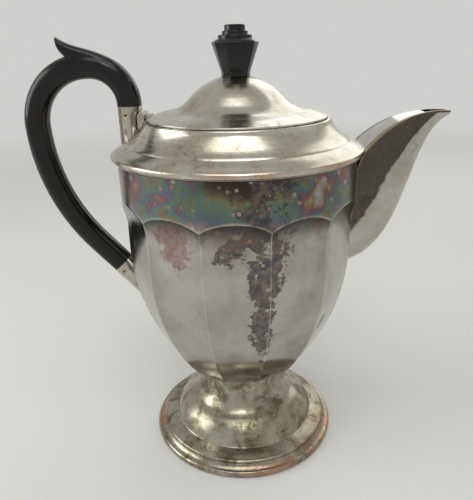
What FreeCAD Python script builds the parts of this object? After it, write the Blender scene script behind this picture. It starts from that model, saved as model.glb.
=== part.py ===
import FreeCAD, Part
import math
import os

Vector = FreeCAD.Vector
ORIGIN = Vector(0, 0, 0)
UP = Vector(0, 0, 1)
ACROSS = Vector(0, 1, 0)

# Silver-plated coffee pot on a pedestal foot, in millimetres. The origin is the middle of the ring that the
# foot stands on, +Z is up, the spout points to +X and the handle to -X. The lid is modelled closed.

# Curves of the turned pieces are drawn as chords, each at most this far from the curve
chord_sag = 0.35

# Heights, stacked from the table
foot_height = 39.8
body_height = 108.0
collar_height = 16.4
lid_gap = 0.3
lid_height = 17.0

# Body: a round band over flat panels that curve in to the foot
body_radius = 54.4
body_wall = 1.2
panel_count = 12
panel_inset = 3.3
shoulder_height = 66.2
belly_radius = 103.0
base_round = 9.0
scoop_height = 78.2
scoop_radius = 28.0
scoop_turn = 36.0

# Strainer in the body wall behind the spout: one hole with a ring of holes around it
strainer_hole = 5.0
strainer_pitch = 8.0
strainer_ring = 6
strainer_height = 82.0

# Collar: brim, cove and tier
brim_overhang = 2.85
brim_bead = 0.9
brim_under = 1.1
brim_over = 3.7
brim_under_sag = 0.3
brim_slope_sag = 0.3
cove_inset = 3.9
cove_rise = 6.9
cove_sag = 1.0
tier_inset = 13.2
tier_round = 0.8
tier_sag = 0.2
mouth_ledge = 2.4
collar_wall = 1.2

# Foot and the wire round its edge
foot_edge_radius = 45.8
foot_rim_radius = 47.5
foot_rim_height = 3.2
foot_rim_flat = 0.9
foot_rim_fit = 0.02
step_radius = 43.3
step_height = 5.0
step_sag = 0.3
step_bead = 1.9
step_bead_inset = 0.9
step_bead_sag = 0.6
dome_radius = 36.6
dome_base = 8.8
dome_sag = 1.7
waist_radius = 26.2
waist_height = 20.4
neck_radius = 20.0
neck_height = 34.0
neck_sag = 1.8
foot_wall = 1.2

# Lid and the ring under it
lid_setback = 0.7
lid_edge = 0.6
lid_wall = 1.1
lid_land = 3.9
slope_radius = 29.5
slope_rise = 3.2
slope_sag = 0.4
shoulder_radius = 22.5
shoulder_rise = 7.0
shoulder_sag = 0.5
dome_bow = 1.4
finial_seat_radius = 7.0
bezel_clearance = 0.8
bezel_wall = 0.8
bezel_depth = 4.0

# Knob, its stepped cap and what holds it
finial_sides = 10
finial_foot_radius = 6.4
finial_foot_height = 2.0
finial_head_radius = 10.4
finial_head_height = 14.1
finial_bevel = 2.0
finial_bevel_height = 1.3
cap_steps = ((7.4, 1.6), (5.6, 1.6), (4.5, 2.4))
cap_edge_round = 0.4
stud_radius = 1.5
stud_depth = 12.0
stud_tail = 0.6
stud_clearance = 0.05
washer_radius = 4.5
washer_thickness = 0.8
nut_sides = 6
nut_across_flats = 5.5
nut_height = 2.4

# Lid hinge
hinge_standoff = 1.2
hinge_rise = 1.8
knuckle_radius = 1.5
hinge_width = 12.0
lid_knuckle_width = 4.6
knuckle_gap = 0.3
hinge_pin_radius = 0.7
hinge_pin_press = 0.01
hinge_pin_running = 0.05
lid_tab_length = 4.4
lid_tab_rise = 0.6

# Handle: a rounded section that follows lines and arcs, with a thumb spur, between two sockets
grip_thickness = 10.8
grip_width = 11.0
grip_corner = 4.8
grip_corner_chords = 3
socket_setback = 0.2
socket_rise = 6.0
top_bend_rise = 0.8
top_bend_radius = 16.4
top_run = 1.4
back_bend_radius = 25.2
lower_bend_radius = 83.5
lower_bend_turn = 42.0
lower_run = 16.2
spur_reach = 13.6
spur_rise = 12.8
spur_root = 8.4
spur_root_rise = 3.5
spur_end = 5.0
spur_heel = 5.6
spur_width = 8.8
spur_tip_round = 0.8
spur_edge_round = 2.2
tenon_thickness = 6.4
tenon_width = 6.0
tenon_depth = 8.0
tenon_clearance = 0.1
lower_socket_reach = 40.0
handle_pin_radius = 1.2
handle_pin_bore = 0.5
handle_pin_proud = 0.2
handle_pin_clearance = 0.03
upper_pin_drop = 3.6
lower_pin_drop = 2.8
handle_pin_offset = 0.9

# Spout: cubic curves for the top edge, the keel and the half width, from inside the body to the tip. The places
# are out from the band and up from the top of the body.
spout_top = ((-6.4, -6.4), (6.0, 10.6), (18.6, 19.4), (39.8, 17.6))
spout_keel = ((-6.4, -54.3), (27.7, -49.0), (21.3, 7.5), (39.6, 15.4))
spout_half_width = (16.0, 11.8, 7.0, 2.3)
spout_wall = 0.9
spout_stations = 8
spout_side_points = 11
channel_end = 0.90
lip_start = 0.80
lip_end = 0.97
lip_clear = 2.0
lip_step = 0.3

# Places worked out from the sizes above
body_top = foot_height + body_height
collar_top = body_top + collar_height
lid_base = collar_top + lid_gap
lid_top = lid_base + lid_height
lid_ceiling = lid_top - lid_wall
panel_flat = body_radius - panel_inset
brim_radius = body_radius + brim_overhang
cove_radius = body_radius - cove_inset
tier_radius = body_radius - tier_inset
mouth_radius = tier_radius - mouth_ledge
lid_radius = tier_radius - lid_setback
hinge_x = -(tier_radius + hinge_standoff)
hinge_z = collar_top + hinge_rise
grip_x = hinge_x - socket_setback - grip_thickness / 2
socket_top = collar_top + socket_rise
body_inside = body_radius - body_wall


def at(point):
    """The place of a (radius, height) pair in the XZ plane."""
    return Vector(point[0], 0, point[1])


def bowed(start, end, sag):
    """Corners along an arc that bows by sag to the left of its run, with each chord near the arc."""
    a = at(start)
    b = at(end)
    run = b - a
    left = Vector(-run.z, 0, run.x)
    left.normalize()
    arc = Part.Arc(a, (a + b) * 0.5 + left * sag, b).toShape()
    chords = math.ceil(math.sqrt(abs(sag) / chord_sag))
    return arc.discretize(chords + 1)[1:]


def outline(start, *moves):
    """A closed wire in the XZ plane: each move is a corner, with a sag where the way there is curved."""
    corners = [at(start)]
    here = start
    for move in moves:
        if len(move) == 3:
            corners += bowed(here, move, move[2])
        else:
            corners.append(at(move))
        here = move
    return Part.makePolygon(corners + corners[:1])


def turned(wire):
    """The solid that an outline beside the axis sweeps in one full turn."""
    return Part.Face(wire).revolve(ORIGIN, UP, 360)


def ring(radius, hole, bottom, height):
    """A plain ring about the axis of the pot."""
    tube = Part.makeCylinder(radius, height, Vector(0, 0, bottom))
    return tube.cut(Part.makeCylinder(hole, height, Vector(0, 0, bottom)))


def rod(radius, length, x, z):
    """A round bar across the pot, centred on its middle plane."""
    return Part.makeCylinder(radius, length, Vector(x, -length / 2, z), ACROSS)


def polygon_prism(sides, radius, bottom, height):
    """A prism whose flats face forwards, with its corners at the given radius."""
    face = Part.Face(polygon(sides, radius, bottom))
    return face.extrude(UP * height)


def polygon(sides, radius, height):
    """A level regular polygon about the axis, with a flat side towards -Y."""
    step = 360 / sides
    corners = []
    for i in range(sides + 1):
        angle = math.radians(-90 + step / 2 + i * step)
        corners.append(Vector(radius * math.cos(angle), radius * math.sin(angle), height))
    return Part.makePolygon(corners)


# Body

def panel_slab(inset, top):
    """A slab right through the pot whose two curved sides are two opposite panels, each set in by inset."""
    belly_z = foot_height + shoulder_height
    belly_x = panel_flat - belly_radius
    reach = belly_radius - base_round
    turn = math.asin((shoulder_height - base_round) / reach)
    base_x = belly_x + reach * math.cos(turn)
    base_z = belly_z - reach * math.sin(turn)
    scoop_z = foot_height + scoop_height
    scoop_x = panel_flat + scoop_radius

    def round_the_base(angle):
        radius = base_round - inset
        return at((base_x + radius * math.cos(angle), base_z - radius * math.sin(angle)))

    def up_the_belly(angle):
        radius = belly_radius - inset
        return at((belly_x + radius * math.cos(angle), belly_z - radius * math.sin(angle)))

    def out_the_scoop(angle):
        radius = scoop_radius + inset
        return at((scoop_x - radius * math.cos(angle), scoop_z + radius * math.sin(angle)))

    quarter = math.pi / 2
    half_way = (quarter + turn) / 2
    run_out = math.radians(scoop_turn)
    bottom = at((0, foot_height + inset))
    crest = out_the_scoop(run_out)
    outside = Vector(2 * body_radius, 0, crest.z)
    edges = [
        Part.LineSegment(bottom, round_the_base(quarter)).toShape(),
        Part.Arc(round_the_base(quarter), round_the_base(half_way), round_the_base(turn)).toShape(),
        Part.Arc(up_the_belly(turn), up_the_belly(turn / 2), up_the_belly(0)).toShape(),
        Part.LineSegment(up_the_belly(0), out_the_scoop(0)).toShape(),
        Part.Arc(out_the_scoop(0), out_the_scoop(run_out / 2), crest).toShape(),
        Part.LineSegment(crest, outside).toShape(),
        Part.LineSegment(outside, Vector(outside.x, 0, top)).toShape(),
        Part.LineSegment(Vector(outside.x, 0, top), at((0, top))).toShape(),
    ]
    edges += [edge.mirror(ORIGIN, Vector(1, 0, 0)) for edge in edges]
    face = Part.Face(Part.Wire(Part.__sortEdges__(edges)))
    half_depth = 2 * body_radius
    face.translate(ACROSS * -half_depth)
    return face.extrude(ACROSS * (2 * half_depth))


def panelled_form(inset, top):
    """The round band where it lies inside every pair of panels, all set in by the same inset."""
    form = Part.makeCylinder(body_radius - inset, top, ORIGIN)
    for pair in range(panel_count // 2):
        slab = panel_slab(inset, top)
        slab.rotate(ORIGIN, UP, pair * 360 / panel_count)
        form = form.common(slab)
    return form


def strainer_bores():
    """The middle hole and the ring of holes around it, drilled through the wall behind the spout."""
    height = foot_height + strainer_height
    places = [(0, height)]
    for i in range(strainer_ring):
        angle = 2 * math.pi * i / strainer_ring + math.pi / 2
        places.append((strainer_pitch * math.cos(angle), height + strainer_pitch * math.sin(angle)))
    bores = []
    for y, z in places:
        bores.append(Part.makeCylinder(strainer_hole / 2, body_radius, Vector(0, y, z), Vector(1, 0, 0)))
    return bores


body_envelope = panelled_form(0, body_top)
body = body_envelope.cut(panelled_form(body_wall, body_top + body_wall))
body = body.cut(Part.Compound(strainer_bores()))


# Collar

def collar_face():
    """The outer line of the collar, from the top of the body to the edge of its tier."""
    bead_radius = brim_radius - brim_bead
    return (
        (bead_radius, body_top + brim_under, -brim_under_sag),
        (bead_radius, body_top + brim_over, -brim_bead),
        (cove_radius, body_top + cove_rise, -brim_slope_sag),
        (tier_radius + tier_round, collar_top - tier_round, cove_sag),
        (tier_radius, collar_top, -tier_sag),
    )


collar_envelope = turned(outline((0, body_top), (body_radius, body_top), *collar_face(), (0, collar_top)))
collar = turned(outline(
    (body_radius, body_top),
    *collar_face(),
    (mouth_radius, collar_top),
    (mouth_radius, collar_top - collar_wall),
    (tier_radius + tier_round - collar_wall, collar_top - collar_wall),
    (cove_radius - collar_wall / 2, body_top + cove_rise - collar_wall, -cove_sag),
    (body_inside, body_top + brim_over),
    (body_inside, body_top),
))


# Foot and its rim

foot = turned(outline(
    (foot_edge_radius, 0),
    (foot_edge_radius, foot_rim_height),
    (step_radius, step_height, step_sag),
    (step_radius - step_bead_inset, step_height + step_bead, -step_bead_sag),
    (dome_radius, dome_base),
    (waist_radius, waist_height, -dome_sag),
    (neck_radius, neck_height, neck_sag),
    (neck_radius, foot_height),
    (neck_radius - foot_wall, foot_height),
    (neck_radius - foot_wall, neck_height),
    (waist_radius - foot_wall, waist_height - foot_wall, -neck_sag),
    (dome_radius - foot_wall, dome_base - foot_wall, dome_sag),
    (step_radius - foot_wall, step_height + step_bead / 2 - foot_wall),
    (foot_edge_radius - foot_wall, foot_rim_height - foot_wall),
    (foot_edge_radius - foot_wall, 0),
))

rim_inside = foot_edge_radius + foot_rim_fit
rim_bow = foot_rim_radius - rim_inside - foot_rim_flat
foot_rim = turned(outline(
    (rim_inside, 0),
    (rim_inside + foot_rim_flat, 0),
    (rim_inside + foot_rim_flat, foot_rim_height, -rim_bow),
    (rim_inside, foot_rim_height),
))


# Lid and its bezel

def lid_face():
    """The outer line of the lid from its edge to the seat of the knob."""
    return (
        (lid_radius, lid_base + lid_edge),
        (slope_radius, lid_base + slope_rise, -slope_sag),
        (shoulder_radius, lid_base + shoulder_rise, shoulder_sag),
        (finial_seat_radius, lid_top, -dome_bow),
    )


def lid_underside():
    """The inner line of the lid from the ceiling over the washer to the flat land at its edge."""
    land = lid_radius - lid_land
    return (
        (finial_seat_radius - lid_wall / 2, lid_ceiling),
        (shoulder_radius - lid_wall / 2, lid_base + shoulder_rise - lid_wall, dome_bow),
        (slope_radius, lid_base + slope_rise - lid_wall, -shoulder_sag),
        (land, lid_base + lid_edge),
        (land, lid_base),
    )


stud_hole = stud_radius + stud_clearance
lid_envelope = turned(outline((0, lid_base), (lid_radius, lid_base), *lid_face(), (0, lid_top)))
lid = turned(outline(
    (lid_radius, lid_base),
    *lid_face(),
    (stud_hole, lid_top),
    (stud_hole, lid_ceiling),
    *lid_underside(),
))
bezel_radius = mouth_radius - bezel_clearance
lid_bezel = ring(bezel_radius, bezel_radius - bezel_wall, lid_base - bezel_depth, bezel_depth)


# Knob, cap, stud, washer and nut

def faceted(levels):
    """A solid with flat facets through level polygons, given by the radius of their corners and height."""
    rings = [polygon(finial_sides, radius, lid_top + height) for radius, height in levels]
    faces = [Part.Face(rings[0]), Part.Face(rings[-1])]
    for lower, upper in zip(rings, rings[1:]):
        for below, above in zip(lower.Edges, upper.Edges):
            first, second = (vertex.Point for vertex in below.Vertexes)
            third, fourth = (vertex.Point for vertex in above.Vertexes)
            faces.append(Part.Face(Part.makePolygon([first, second, fourth, third, first])))
    return Part.Solid(Part.Shell(faces))


cap_seat = finial_head_height + finial_bevel_height
finial = faceted((
    (finial_foot_radius, 0),
    (finial_foot_radius, finial_foot_height),
    (finial_head_radius, finial_head_height),
    (finial_head_radius - finial_bevel, cap_seat),
))
finial = finial.cut(Part.makeCylinder(stud_hole, stud_depth + stud_clearance, Vector(0, 0, lid_top)))

cap_line = []
step_bottom = lid_top + cap_seat
for cap_radius, cap_rise in cap_steps:
    cap_line += [
        (cap_radius, step_bottom),
        (cap_radius, step_bottom + cap_rise - cap_edge_round),
        (cap_radius - cap_edge_round, step_bottom + cap_rise),
    ]
    step_bottom += cap_rise
finial_cap = turned(outline((0, lid_top + cap_seat), *cap_line, (0, step_bottom)))

nut_top = lid_ceiling - washer_thickness
nut_bottom = nut_top - nut_height
stud_bottom = nut_bottom - stud_tail
finial_stud = Part.makeCylinder(stud_radius, lid_top + stud_depth - stud_bottom, Vector(0, 0, stud_bottom))
finial_washer = ring(washer_radius, stud_hole, nut_top, washer_thickness)
nut_radius = nut_across_flats / 2 / math.cos(math.pi / nut_sides)
finial_nut = polygon_prism(nut_sides, nut_radius, nut_bottom, nut_height)
finial_nut = finial_nut.cut(Part.makeCylinder(stud_hole, nut_height, Vector(0, 0, nut_bottom)))


# Hinge: two knuckles stand on the collar, and the lid's knuckle turns between them

side_start = lid_knuckle_width / 2 + knuckle_gap
side_width = (hinge_width - lid_knuckle_width) / 2 - knuckle_gap


def hinge_block(width, y, top):
    """A block on the cove of the collar, from y onwards, up to top."""
    base = Vector(hinge_x - knuckle_radius, y, body_top)
    return Part.makeBox(2 * knuckle_radius, width, top - body_top, base)


hinge_collar_leaf = hinge_block(hinge_width, -hinge_width / 2, hinge_z - knuckle_radius - knuckle_gap)
for side in (side_start, -side_start - side_width):
    hinge_collar_leaf = hinge_collar_leaf.fuse([
        hinge_block(side_width, side, hinge_z),
        Part.makeCylinder(knuckle_radius, side_width, Vector(hinge_x, side, hinge_z), ACROSS),
    ])
hinge_collar_leaf = hinge_collar_leaf.removeSplitter().cut(collar_envelope)
hinge_collar_leaf = hinge_collar_leaf.cut(
    rod(hinge_pin_radius + hinge_pin_press, hinge_width, hinge_x, hinge_z))

lid_tab = Part.makeBox(lid_tab_length, lid_knuckle_width, hinge_z + lid_tab_rise - lid_base,
                       Vector(hinge_x, -lid_knuckle_width / 2, lid_base))
hinge_lid_leaf = rod(knuckle_radius, lid_knuckle_width, hinge_x, hinge_z).fuse(lid_tab).removeSplitter()
hinge_lid_leaf = hinge_lid_leaf.cut(lid_envelope)
hinge_lid_leaf = hinge_lid_leaf.cut(
    rod(hinge_pin_radius + hinge_pin_running, hinge_width, hinge_x, hinge_z))
hinge_pin = rod(hinge_pin_radius, hinge_width, hinge_x, hinge_z)


# Handle

def grip_section():
    """The face across the grip, level, at the middle of the pot, with its corners rounded in chords."""
    reach_x = grip_thickness / 2 - grip_corner
    reach_y = grip_width / 2 - grip_corner
    corners = []
    for turn, x, y in ((0, 1, 1), (1, -1, 1), (2, -1, -1), (3, 1, -1)):
        for i in range(grip_corner_chords + 1):
            angle = (turn + i / grip_corner_chords) * math.pi / 2
            corners.append(Vector(x * reach_x + grip_corner * math.cos(angle),
                                  y * reach_y + grip_corner * math.sin(angle), 0))
    return Part.Face(Part.makePolygon(corners + corners[:1]))


def bent_grip():
    """The grip in its runs and bends from the upper socket to the lower, with its crown, end and way."""
    start = at((grip_x, socket_top))
    bend = start + UP * top_bend_rise
    crown = bend + Vector(-top_bend_radius, 0, top_bend_radius)
    back = crown - Vector(top_run, 0, 0)
    side = back - Vector(back_bend_radius, 0, back_bend_radius)
    turn = math.radians(lower_bend_turn)
    way = Vector(math.sin(turn), 0, -math.cos(turn))
    lower_middle = side + Vector(lower_bend_radius, 0, 0)
    run_start = lower_middle - Vector(math.cos(turn), 0, math.sin(turn)) * lower_bend_radius
    bends = (
        (UP * top_bend_rise, crown - UP * top_bend_radius, 90),
        (back - crown, back - UP * back_bend_radius, 90),
        (ORIGIN, lower_middle, lower_bend_turn),
        (way * lower_run, None, 0),
    )
    face = grip_section()
    face.translate(start)
    lengths = []
    for run, middle, degrees in bends:
        if run.Length > 0:
            lengths.append(face.extrude(run))
            face.translate(run)
        if degrees:
            lengths.append(face.revolve(middle, -ACROSS, degrees))
            face.rotate(middle, -ACROSS, degrees)
    grip = lengths[0].fuse(lengths[1:]).removeSplitter()
    return grip, crown, run_start + way * lower_run, way


def along(shape, place, way):
    """A shape made upright at the origin, moved to place and turned so that its height runs along way."""
    moved = shape.copy()
    moved.Placement = FreeCAD.Placement(place, FreeCAD.Rotation(UP, way))
    return moved


def tenon(clearance):
    """The square end of the grip, or with a clearance the pocket that takes it."""
    thickness = tenon_thickness + 2 * clearance
    width = tenon_width + 2 * clearance
    return Part.makeBox(thickness, width, tenon_depth + clearance, Vector(-thickness / 2, -width / 2, 0))


def thumb_spur(crown):
    """The leaf that leaves the crown of the grip and ends in a blunt spur for the thumb."""
    tip = (crown.x - spur_reach, crown.z + spur_rise)
    root = (crown.x + spur_root, crown.z + spur_root_rise)
    wire = outline(
        root,
        tip,
        (tip[0], tip[1] - spur_end),
        (crown.x - spur_heel, crown.z),
    )
    face = Part.Face(wire)
    face.translate(ACROSS * (-spur_width / 2))
    leaf = face.extrude(ACROSS * spur_width)
    point = [edge for edge in leaf.Edges if edge.BoundBox.ZMin > tip[1] - spur_end / 2]
    leaf = leaf.makeFillet(spur_tip_round, point)
    ridges = [edge for edge in leaf.Edges
              if edge.BoundBox.YLength < 0.01 and edge.BoundBox.ZMax > tip[1] - spur_end / 2]
    return leaf.makeFillet(spur_edge_round, ridges)


handle, crown_place, handle_end, handle_way = bent_grip()
handle = handle.fuse([
    thumb_spur(crown_place),
    along(tenon(0), at((grip_x, socket_top)), Vector(0, 0, -1)),
    along(tenon(0), handle_end, handle_way),
]).removeSplitter()

handle_outward = Vector(handle_way.z, 0, -handle_way.x)
upper_pin_place = at((grip_x - handle_pin_offset, socket_top - upper_pin_drop))
lower_pin_place = handle_end + handle_way * lower_pin_drop + handle_outward * handle_pin_offset
pin_length = grip_width + 2 * handle_pin_proud


def handle_pin(place):
    """A tubular pin across the handle at place."""
    return rod(handle_pin_radius, pin_length, place.x, place.z).cut(
        rod(handle_pin_bore, pin_length, place.x, place.z))


def pin_hole(place):
    """The hole that takes a handle pin at place."""
    return rod(handle_pin_radius + handle_pin_clearance, 2 * pin_length, place.x, place.z)


upper_handle_pin = handle_pin(upper_pin_place)
lower_handle_pin = handle_pin(lower_pin_place)
handle = handle.cut(pin_hole(upper_pin_place)).cut(pin_hole(lower_pin_place))


# Sockets

socket_bar = grip_section().extrude(UP * lower_socket_reach)

upper_socket = along(socket_bar, at((grip_x, socket_top)), Vector(0, 0, -1)).cut(collar_envelope)
upper_socket = max(upper_socket.Solids, key=lambda solid: solid.CenterOfMass.z)
hinge_room = knuckle_radius + knuckle_gap
hinge_notch = Part.makeBox(
    grip_thickness, 2 * grip_width, hinge_z + hinge_room - body_top,
    Vector(hinge_x - hinge_room, -grip_width, body_top))
upper_socket = upper_socket.cut(hinge_notch)
upper_socket = upper_socket.cut(along(tenon(tenon_clearance), at((grip_x, socket_top)), Vector(0, 0, -1)))
upper_socket = upper_socket.cut(pin_hole(upper_pin_place))

lower_socket = along(socket_bar, handle_end, handle_way).cut(body_envelope)
lower_socket = min(lower_socket.Solids, key=lambda solid: solid.CenterOfMass.x)
lower_socket = lower_socket.cut(along(tenon(tenon_clearance), handle_end, handle_way))
lower_socket = lower_socket.cut(pin_hole(lower_pin_place))


# Spout

def bezier(points):
    """The curve of four control points."""
    curve = Part.BezierCurve()
    curve.setPoles(points)
    return curve


top_curve = bezier([at((body_radius + out, body_top + up)) for out, up in spout_top])
keel_curve = bezier([at((body_radius + out, body_top + up)) for out, up in spout_keel])
width_curve = bezier([Vector(half, 0, 0) for half in spout_half_width])


def spout_section(u, inset, over):
    """A shield across the spout at u: a straight top, raised by over, and chords round to the keel."""
    top = top_curve.value(u)
    keel = keel_curve.value(u)
    down = keel - top
    down.normalize()
    top = top + down * (inset - over)
    keel = keel - down * inset
    half = width_curve.value(u).x - inset
    points = []
    for i in range(spout_side_points):
        angle = math.pi * i / (spout_side_points - 1)
        points.append(top + ACROSS * (half * math.cos(angle)) + (keel - top) * math.sin(angle))
    return Part.makePolygon(points + points[:1])


def spout_loft(start, end, inset, over=0):
    """The solid through the sections between two places along the spout."""
    sections = []
    for i in range(spout_stations):
        u = start + (end - start) * i / (spout_stations - 1)
        sections.append(spout_section(u, inset, over))
    return Part.makeLoft(sections, True, True)


spout = spout_loft(0, 1, 0)
spout = spout.cut(spout_loft(0, channel_end, spout_wall))
lip_wall = spout_wall + lip_step
spout = spout.cut(spout_loft(lip_start, lip_end, lip_wall, lip_clear + lip_wall))
spout = spout.cut(body_envelope).cut(collar_envelope)
spout = max(spout.Solids, key=lambda solid: solid.Volume)


pieces = {
    "body": body,
    "collar": collar,
    "foot": foot,
    "foot_rim": foot_rim,
    "spout": spout,
    "upper_socket": upper_socket,
    "lower_socket": lower_socket,
    "handle": handle,
    "upper_handle_pin": upper_handle_pin,
    "lower_handle_pin": lower_handle_pin,
    "lid": lid,
    "lid_bezel": lid_bezel,
    "hinge_collar_leaf": hinge_collar_leaf,
    "hinge_lid_leaf": hinge_lid_leaf,
    "hinge_pin": hinge_pin,
    "finial": finial,
    "finial_cap": finial_cap,
    "finial_stud": finial_stud,
    "finial_washer": finial_washer,
    "finial_nut": finial_nut,
}

os.makedirs("parts", exist_ok=True)
for name, shape in pieces.items():
    shape.exportStep("parts/" + name + ".step")
    box = shape.BoundBox
    print("%-18s solids %d valid %s volume %.1f  x %.1f %.1f  y %.1f %.1f  z %.1f %.1f" % (
        name, len(shape.Solids), shape.isValid(), shape.Volume,
        box.XMin, box.XMax, box.YMin, box.YMax, box.ZMin, box.ZMax))
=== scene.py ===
import math
import bmesh
import bpy
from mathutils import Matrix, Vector


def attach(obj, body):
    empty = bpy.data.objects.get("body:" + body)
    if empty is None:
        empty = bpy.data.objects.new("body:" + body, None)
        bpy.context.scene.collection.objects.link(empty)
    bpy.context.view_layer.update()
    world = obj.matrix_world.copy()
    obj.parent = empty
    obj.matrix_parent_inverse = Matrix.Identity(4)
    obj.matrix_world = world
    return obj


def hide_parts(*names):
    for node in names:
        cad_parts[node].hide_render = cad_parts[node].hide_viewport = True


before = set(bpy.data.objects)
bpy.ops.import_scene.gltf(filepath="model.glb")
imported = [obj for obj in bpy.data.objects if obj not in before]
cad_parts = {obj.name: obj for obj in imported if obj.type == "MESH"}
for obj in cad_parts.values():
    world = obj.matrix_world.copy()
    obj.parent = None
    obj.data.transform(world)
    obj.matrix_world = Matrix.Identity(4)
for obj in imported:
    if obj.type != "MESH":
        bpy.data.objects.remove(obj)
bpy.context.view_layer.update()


# Body: the vessel of the pot, raised from sheet brass 1.2 mm thick and silver plated. One panel is drawn
# by rule, from the flat bottom up the belly to the scooped arch and the round band, and repeated twelve
# times. Seven strainer holes are drilled through the wall behind the spout.
# Lengths are in millimetres, and times mm where a mesh or a node takes metres.
mm = 0.001
panels = 12
half_panel = math.pi / panels
foot_height = 39.8
body_top = 147.8
band_radius = 54.4
sheet = 1.2
panel_flat = 51.1
shoulder = 66.2
belly_radius = 103.0
base_round = 9.0
scoop_rise = 78.2
scoop_radius = 28.0
crease_round = 2.2
arch_softness = 0.22
belly_z = foot_height + shoulder
belly_x = panel_flat - belly_radius
scoop_z = foot_height + scoop_rise
scoop_x = panel_flat + scoop_radius
base_turn = math.asin((shoulder - base_round) / (belly_radius - base_round))
base_steps = 6
belly_steps = 26
flat_steps = 3
scoop_shares = (0.2, 0.4, 0.6, 0.75, 0.86, 0.93, 0.97, 1)
arch_rises = (0.25, 0.6, 1.2, 2.4)
band_steps = 5
bright_line_rise = 0.3
bright_line_reach = 0.6
halvings = 40
hair = 0.001
weld = 0.004


def panel_distance(z, inset):
    """How far a panel lies from the axis at a height on the belly, the flat or the scoop."""
    if z < belly_z:
        return belly_x + math.sqrt((belly_radius - inset) ** 2 - (belly_z - z) ** 2)
    if z < scoop_z:
        return panel_flat - inset
    reach = scoop_radius + inset
    return scoop_x - math.sqrt(max(reach ** 2 - (z - scoop_z) ** 2, 0))


def across_panel(distance, column):
    """The place on a panel: a share of its flat, or an angle round one of the soft creases beside it."""
    share, turn = column
    flat = (distance - crease_round) * math.tan(half_panel)
    side = math.copysign(1, share)
    return Vector((distance - crease_round * (1 - math.cos(turn)),
                   share * flat + side * crease_round * math.sin(turn)))


def panel_column(column, inset):
    """One column of a panel, from the edge of the bottom to the top of the band, as points with two marks:
    how near the point is to an edge rubbed bright and painted with a highlight, and how deep in the hollow
    under the arch."""
    limit = band_radius - inset
    near = panel_flat - inset
    far = band_radius
    for halving in range(halvings):
        middle = (near + far) / 2
        if across_panel(middle, column).length < limit:
            near = middle
        else:
            far = middle
    reach = scoop_radius + inset
    arch = math.acos((scoop_x - near) / reach)
    arch_z = scoop_z + reach * math.sin(arch)
    round_base = base_round - inset
    base_x = belly_x + (belly_radius - base_round) * math.cos(base_turn)
    base_z = belly_z - (belly_radius - base_round) * math.sin(base_turn)
    line = []
    for step in range(base_steps + 1):
        angle = math.pi / 2 + (base_turn - math.pi / 2) * step / base_steps
        line.append((base_x + round_base * math.cos(angle), base_z - round_base * math.sin(angle)))
    for step in range(1, belly_steps + 1):
        angle = base_turn * (1 - step / belly_steps)
        line.append((belly_x + (belly_radius - inset) * math.cos(angle),
                     belly_z - (belly_radius - inset) * math.sin(angle)))
    for step in range(1, flat_steps + 1):
        line.append((panel_flat - inset, belly_z + (scoop_z - belly_z) * step / flat_steps))
    band_z = arch_z + arch_rises[-1]
    heights = [scoop_z + (arch_z - scoop_z) * share for share in scoop_shares]
    heights += [arch_z + rise for rise in arch_rises]
    heights += [band_z + (body_top - band_z) * step / band_steps for step in range(1, band_steps + 1)]
    line += [(panel_distance(z, inset), z) for z in heights]
    points = []
    for distance, z in line:
        spot = across_panel(min(distance, near), column)
        plain = across_panel(distance, column).length if distance < scoop_x - 1 else 2 * limit
        gap = plain - limit
        radius = limit + (gap - math.sqrt(gap * gap + arch_softness ** 2)) / 2
        if z >= body_top - hair:
            radius = limit
        spot = spot.normalized() * radius
        hollow = (z - scoop_z) / (arch_z - scoop_z) if scoop_z < z < arch_z + 0.1 else 0
        # The pale line along the arch and the creases is partly wear from cloths and partly a painted
        # highlight.
        wear_and_highlight = max(0, 1 - abs(z - arch_z - bright_line_rise) / bright_line_reach)
        if column[1] > half_panel / 2 and z < arch_z:
            wear_and_highlight = 1
        points.append((Vector((spot.x, spot.y, z)), wear_and_highlight, hollow))
    return points


def surface(name, rows, closed_ring=False, marks=None):
    """A mesh of quads over rows of points in millimetres, with coinciding points merged and faces outwards.
    Each mark is a name with rows of numbers for the same points."""
    made = bmesh.new()
    layers = [made.verts.layers.float.new(mark) for mark in marks or {}]
    grid = [[made.verts.new(Vector(point) * mm) for point in row] for row in rows]
    for layer, values in zip(layers, (marks or {}).values()):
        for vertices, numbers in zip(grid, values):
            for vertex, number in zip(vertices, numbers):
                vertex[layer] = number
    width = len(rows[0])
    for below, above in zip(grid, grid[1:]):
        for i in range(width if closed_ring else width - 1):
            j = (i + 1) % width
            made.faces.new((below[i], below[j], above[j], above[i]))
    return close(name, made)


def close(name, made):
    """The plain mesh of a finished shape: doubles merged, normals outwards, faces smooth."""
    bmesh.ops.remove_doubles(made, verts=made.verts, dist=weld * mm)
    bmesh.ops.recalc_face_normals(made, faces=made.faces)
    return plain_mesh(name, made)


def plain_mesh(name, made):
    """The smooth mesh of a shape as it is."""
    for face in made.faces:
        face.smooth = True
    mesh = bpy.data.meshes.new(name)
    made.to_mesh(mesh)
    made.free()
    return mesh


flat_columns = 12
floor_shares = (0, 0.33, 0.66)
columns = [(-1.0, half_panel), (-1.0, half_panel * 2 / 3), (-1.0, half_panel / 3)]
for step in range(flat_columns + 1):
    # The middle column stands a hair to one side, so that its side is known.
    columns.append((-1 + 2 * step / flat_columns if 2 * step != flat_columns else 1e-6, 0.0))
columns += [(1.0, half_panel / 3), (1.0, half_panel * 2 / 3), (1.0, half_panel)]
strips = []
for column in columns:
    outside = panel_column(column, 0)
    inside = [(point, 0, 0) for point, wear_and_highlight, hollow in panel_column(column, sheet)]
    edge_out = outside[0][0]
    edge_in = inside[0][0]
    floor_out = [(Vector((edge_out.x * share, edge_out.y * share, foot_height)), 0, 0)
                 for share in floor_shares]
    floor_in = [(Vector((edge_in.x * share, edge_in.y * share, edge_in.z)), 0, 0)
                for share in floor_shares[::-1]]
    strips.append(floor_out + outside + inside[::-1] + floor_in)
panel_rows = list(zip(*strips))
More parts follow.
